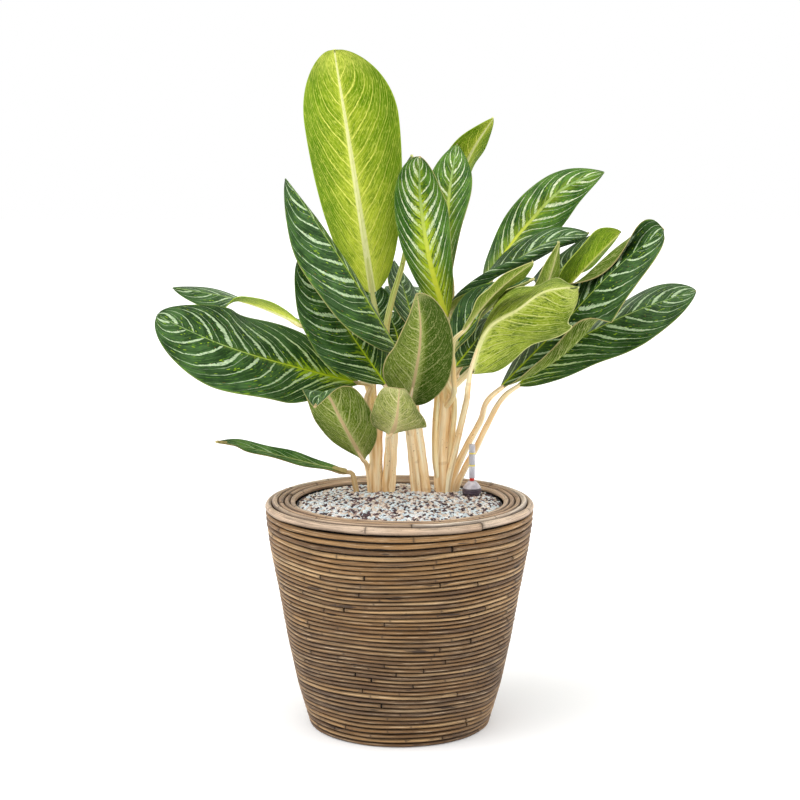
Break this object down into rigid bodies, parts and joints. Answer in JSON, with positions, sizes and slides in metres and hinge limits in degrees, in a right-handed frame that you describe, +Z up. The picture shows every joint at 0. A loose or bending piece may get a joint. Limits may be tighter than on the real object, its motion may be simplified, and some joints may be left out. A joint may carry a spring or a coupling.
{
  "type": "potted chinese evergreen",
  "caption": "Leafy chinese evergreen with striped blades on cream canes, standing in granulate in a rattan-wound pot with a coiled rim and a water-level gauge.",
  "frame": {"origin": "centre of the pot's flat underside, on the floor", "axes": "+Z up; -Y faces the viewer of the picture, +X to that viewer's right"},
  "size_m": [0.5986, 0.4348, 0.7423],
  "materials": {
    "rattan": "satin, wound cane with dark gaps",
    "rim_cane": "satin, wound cane",
    "board": "raw",
    "liner": "black",
    "granulate": "rough mixed grains",
    "leaf_dark": "satin green with silvery stripes",
    "leaf_lime": "satin lime green underside",
    "leaf_olive": "satin olive underside",
    "leaf_dry": "dull, dry",
    "cane": "smooth cream cane",
    "gauge_collar": "dark purple-grey",
    "gauge_cone": "smoky",
    "gauge_float": "red",
    "gauge_tube": "clear"
  },
  "bodies": {
    "root": {"base_board": "board", "gauge_collar": "gauge_collar", "gauge_cone": "gauge_cone", "gauge_float": "gauge_float", "gauge_tube": "gauge_tube", "granulate": "granulate", "inner_liner": "liner", "leaf_back_left": "leaf_dark", "leaf_back_low_left": "leaf_dark", "leaf_back_low_right": "leaf_dark", "leaf_back_mid": "leaf_dark", "leaf_back_right": "leaf_dark", "leaf_back_up": "leaf_dark", "leaf_centre": "leaf_olive", "leaf_gap_left": "leaf_dark", "leaf_gap_low": "leaf_dark", "leaf_gap_upper": "leaf_dark", "leaf_left_back": "leaf_dark", "leaf_left_large": "leaf_dark", "leaf_left_mid": "leaf_dark", "leaf_left_upper": "leaf_dark", "leaf_lime": "leaf_lime", "leaf_lime_spot": "leaf_lime", "leaf_low_centre": "leaf_olive", "leaf_low_left": "leaf_olive", "leaf_right_curl": "leaf_dark", "leaf_right_dark": "leaf_dark", "leaf_right_far": "leaf_dark", "leaf_right_fold": "leaf_dark", "leaf_right_large": "leaf_dark", "leaf_right_long": "leaf_dark", "leaf_right_point": "leaf_lime", "leaf_right_small": "leaf_olive", "leaf_right_tip_up": "leaf_olive", "leaf_right_upper": "leaf_dark", "leaf_tall": "leaf_lime", "leaf_upright": "leaf_dark", "leaf_upright_back": "leaf_dark", "leaf_withered": "leaf_dry", "rattan_wall": "rattan", "rim_coils": "rim_cane", "stems_centre": "cane", "stems_left": "cane", "stems_right": "cane", "stems_withered": "cane"}
  },
  "joints": []
}
